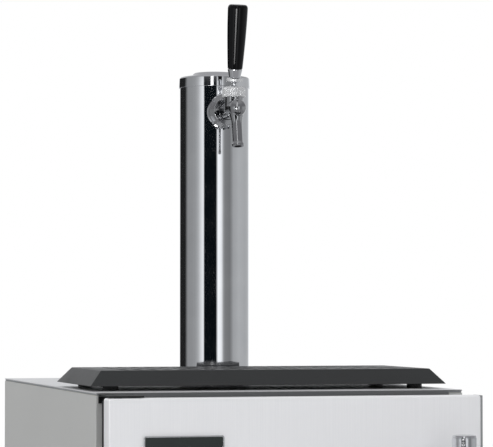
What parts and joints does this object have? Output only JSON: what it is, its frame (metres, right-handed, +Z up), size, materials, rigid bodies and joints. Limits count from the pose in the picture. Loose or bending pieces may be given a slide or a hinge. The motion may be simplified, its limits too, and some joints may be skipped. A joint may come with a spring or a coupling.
{
  "type": "outdoor beer dispenser",
  "caption": "Narrow stainless keg cooler with a side-hinged door and tube handle, a chrome tower with one tap on top, and a sloped drip tray in front of it.",
  "frame": {"origin": "on the floor, under the centre of the whole object's box", "axes": "+Z up, the door and its handle face -Y, +X to the right of someone who faces the door"},
  "size_m": [0.378, 0.653, 1.2715],
  "materials": {
    "brushed_stainless": "brushed",
    "polished_chrome": "polished",
    "galvanised_steel": "matte",
    "black_enamel": "satin",
    "badge_enamel": "gloss",
    "black_moulding": "satin",
    "black_resin": "gloss",
    "liner_plastic": "satin",
    "grey_plastic": "satin",
    "foam": "matte",
    "gasket_rubber": "matte",
    "aluminium": "satin",
    "copper": "satin",
    "brass": "satin",
    "gauge_case": "polished",
    "line_vinyl": "satin"
  },
  "bodies": {
    "cabinet": {"left_side_panel": "brushed_stainless", "right_side_panel": "brushed_stainless", "back_panel": "galvanised_steel", "top_panel": "brushed_stainless", "base_pan": "galvanised_steel", "front_frame": "grey_plastic", "cabinet_insulation": "foam", "inner_liner": "liner_plastic", "toe_kick_grille": "brushed_stainless", "keg_floor_plate": "black_moulding", "evaporator_plate": "aluminium", "fan_housing": "liner_plastic", "compressor": "black_enamel", "compressor_mount": "black_enamel", "condenser_coil": "copper", "mains_inlet": "black_moulding", "gas_cylinder": "aluminium", "cylinder_valve": "brass", "gas_regulator": "brass", "tank_gauge": "gauge_case", "line_gauge": "gauge_case", "coupler_body": "polished_chrome", "upper_hinge": "black_enamel", "lower_hinge": "black_enamel", "tower_flange": "galvanised_steel", "tower_column": "polished_chrome", "tower_base_ring": "polished_chrome", "tower_insulation": "foam", "beer_line": "line_vinyl", "tap_shank": "polished_chrome", "shank_nut": "brass", "shank_elbow": "brass", "coupling_nut": "polished_chrome", "faucet_body": "polished_chrome", "faucet_bonnet": "polished_chrome"},
    "door": {"door_panel": "brushed_stainless", "door_insulation": "foam", "door_liner": "black_moulding", "door_gasket": "gasket_rubber", "door_handle": "polished_chrome", "badge_plate": "badge_enamel"},
    "tap_lever": {"tap_lever": "polished_chrome", "handle_ferrule": "polished_chrome", "tap_handle": "black_resin"},
    "faucet_valve": {"faucet_valve": "polished_chrome"},
    "tower_cap": {"tower_cap": "polished_chrome"},
    "drip_tray": {"drip_tray": "black_moulding", "drip_tray_floor": "black_moulding"},
    "drip_grid": {"drip_grid": "black_moulding"},
    "evaporator_fan": {"evaporator_fan": "black_moulding"},
    "thermostat_knob": {"thermostat_knob": "grey_plastic"},
    "valve_handwheel": {"valve_handwheel": "black_moulding"},
    "regulator_knob": {"regulator_knob": "black_moulding"},
    "coupler_lever": {"coupler_lever": "black_moulding"},
    "coupler_probe": {"coupler_probe": "polished_chrome"},
    "foot_front_left": {"levelling_foot_front_left": "black_moulding"},
    "foot_front_right": {"levelling_foot_front_right": "black_moulding"},
    "foot_rear_left": {"levelling_foot_rear_left": "black_moulding"},
    "foot_rear_right": {"levelling_foot_rear_right": "black_moulding"}
  },
  "joints": [
    {"name": "door_hinge", "type": "hinge", "parent": "cabinet", "child": "door", "pos_m": [-0.177, -0.2485, 0.48], "axis": [0, 0, -1], "range_deg": [0, 115]},
    {"name": "tap_lever_pivot", "type": "hinge", "parent": "cabinet", "child": "tap_lever", "pos_m": [0, -0.0145, 1.178], "axis": [1, 0, 0], "range_deg": [0, 24]},
    {"name": "valve_slide", "type": "slide", "parent": "cabinet", "child": "faucet_valve", "axis": [0, 1, 0], "range_m": [0, 0.008]},
    {"name": "tower_cap_lift", "type": "slide", "parent": "cabinet", "child": "tower_cap", "axis": [0, 0, 1], "range_m": [0, 0.06]},
    {"name": "drip_tray_lift", "type": "slide", "parent": "cabinet", "child": "drip_tray", "axis": [0, 0, 1], "range_m": [0, 0.08]},
    {"name": "drip_grid_lift", "type": "slide", "parent": "drip_tray", "child": "drip_grid", "axis": [0, 0, 1], "range_m": [0, 0.04]},
    {"name": "fan_spin", "type": "hinge", "parent": "cabinet", "child": "evaporator_fan", "pos_m": [0, 0.2555, 0.7627], "axis": [0, 1, 0], "continuous": true},
    {"name": "thermostat_turn", "type": "hinge", "parent": "cabinet", "child": "thermostat_knob", "pos_m": [0.088, 0.2472, 0.7627], "axis": [0, 1, 0], "range_deg": [0, 300]},
    {"name": "cylinder_valve_turn", "type": "hinge", "parent": "cabinet", "child": "valve_handwheel", "pos_m": [-0.08, 0.2115, 0.65], "axis": [0, 0, -1], "range_deg": [0, 360]},
    {"name": "regulator_turn", "type": "hinge", "parent": "cabinet", "child": "regulator_knob", "pos_m": [-0.0097, 0.2115, 0.6276], "axis": [0, 1, 0], "range_deg": [0, 360]},
    {"name": "coupler_lever_pivot", "type": "hinge", "parent": "cabinet", "child": "coupler_lever", "pos_m": [0.088, 0.2065, 0.3243], "axis": [1, 0, 0], "range_deg": [0, 50]},
    {"name": "probe_slide", "type": "slide", "parent": "cabinet", "child": "coupler_probe", "axis": [0, 0, -1], "range_m": [0, 0.012]},
    {"name": "foot_front_left_turn", "type": "hinge", "parent": "cabinet", "child": "foot_front_left", "pos_m": [-0.157, -0.1607, 0.02], "axis": [0, 0, 1], "continuous": true},
    {"name": "foot_front_right_turn", "type": "hinge", "parent": "cabinet", "child": "foot_front_right", "pos_m": [0.157, -0.1607, 0.02], "axis": [0, 0, 1], "continuous": true},
    {"name": "foot_rear_left_turn", "type": "hinge", "parent": "cabinet", "child": "foot_rear_left", "pos_m": [-0.157, 0.2852, 0.02], "axis": [0, 0, 1], "continuous": true},
    {"name": "foot_rear_right_turn", "type": "hinge", "parent": "cabinet", "child": "foot_rear_right", "pos_m": [0.157, 0.2852, 0.02], "axis": [0, 0, 1], "continuous": true}
  ],
  "couplings": [
    {"joint": "valve_slide", "follows": "tap_lever_pivot", "m_per_rad": 0.018},
    {"joint": "probe_slide", "follows": "coupler_lever_pivot", "m_per_rad": 0.01375}
  ]
}
